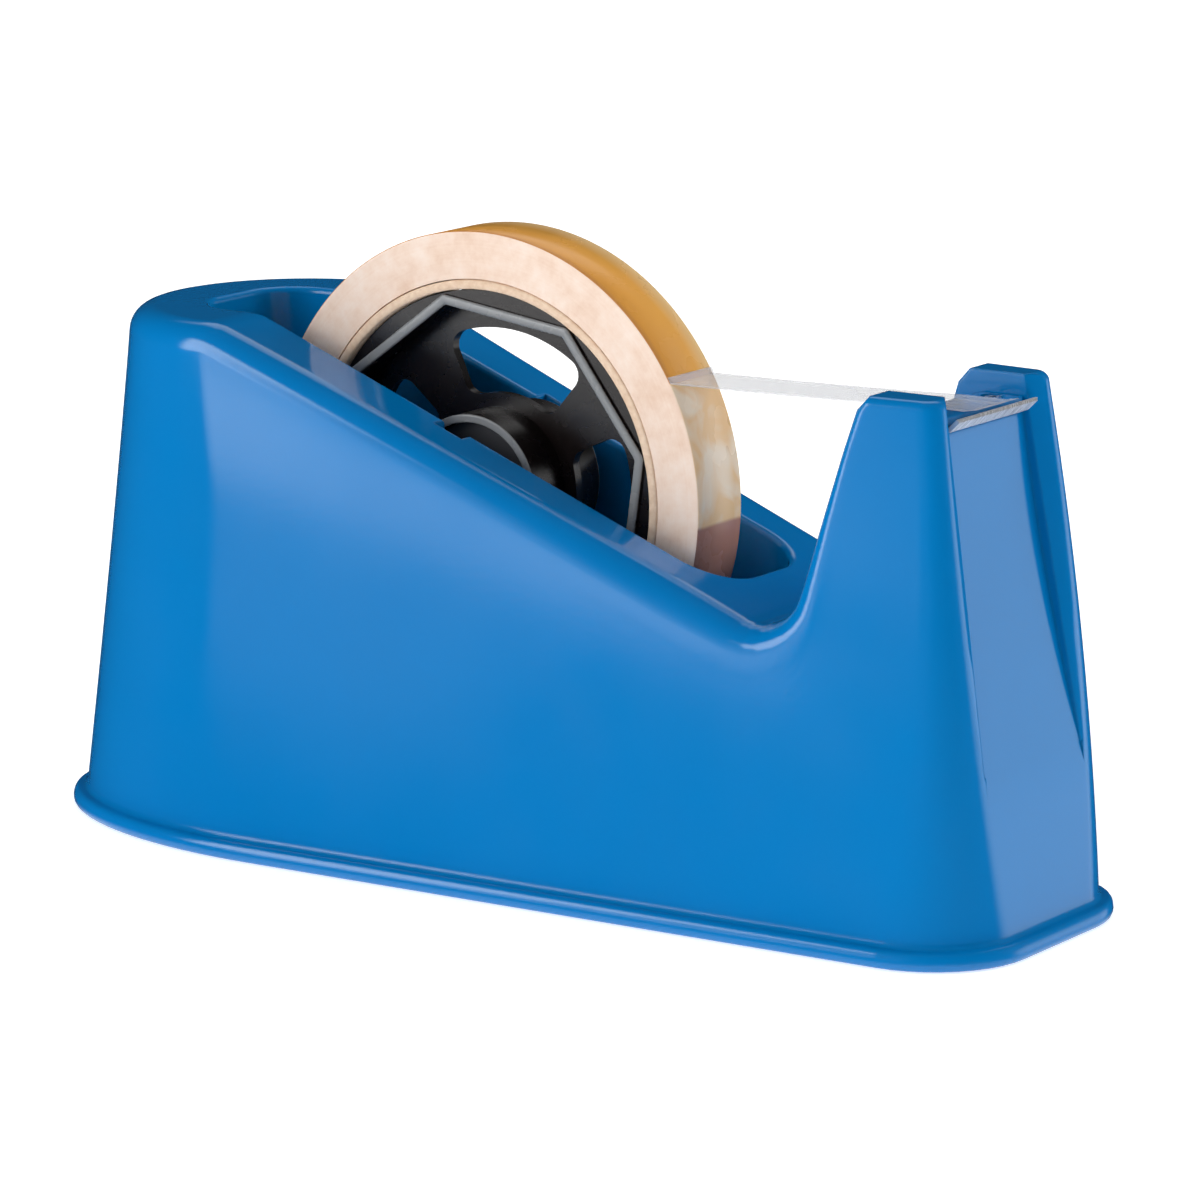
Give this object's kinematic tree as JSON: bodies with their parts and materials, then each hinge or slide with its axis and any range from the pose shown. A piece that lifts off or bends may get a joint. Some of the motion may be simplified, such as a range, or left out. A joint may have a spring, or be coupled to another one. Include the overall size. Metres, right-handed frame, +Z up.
{
  "type": "tape dispenser",
  "caption": "Weighted desk tape dispenser: gloss moulded body with a sloped open well, lift-out spool on a windowed hub, roll of clear tape and a serrated cutter between two ears.",
  "frame": {"origin": "centre of the footprint at desk level, under the feet", "axes": "+X towards the cutter end, +Y to the far side of the spool, +Z up"},
  "size_m": [0.2243, 0.0742, 0.122],
  "materials": {
    "blue_plastic": "gloss",
    "black_plastic": "semi-gloss",
    "grey_plastic": "satin",
    "steel": "bright",
    "cast_iron": "as cast",
    "rubber": "matt",
    "cardboard": "matt card",
    "tape": "gloss film"
  },
  "bodies": {
    "body": {"body_shell": "blue_plastic", "base_plate": "black_plastic", "base_screw_rear_near": "steel", "base_screw_rear_far": "steel", "base_screw_middle_near": "steel", "base_screw_middle_far": "steel", "base_screw_front_near": "steel", "base_screw_front_far": "steel", "foot_rear_near": "rubber", "foot_rear_far": "rubber", "foot_front_near": "rubber", "foot_front_far": "rubber", "ballast_centre": "cast_iron", "ballast_front": "cast_iron", "ballast_tower": "cast_iron", "ballast_rear": "cast_iron", "blade": "steel", "blade_clamp": "blue_plastic", "blade_screw_near": "steel", "blade_screw_far": "steel"},
    "axle_carrier": {"axle": "steel", "tape_lead": "tape"},
    "spool": {"hub_wheel": "black_plastic", "hub_bush_near": "grey_plastic", "hub_bush_far": "grey_plastic", "tape_core": "cardboard", "tape_roll": "tape"}
  },
  "joints": [
    {"name": "spool_lift", "type": "slide", "parent": "body", "child": "axle_carrier", "axis": [0, 0, 1], "range_m": [0, 0.085]},
    {"name": "spool_spin", "type": "hinge", "parent": "axle_carrier", "child": "spool", "pos_m": [-0.012, 0, 0.0728], "axis": [0, 1, 0], "continuous": true}
  ]
}
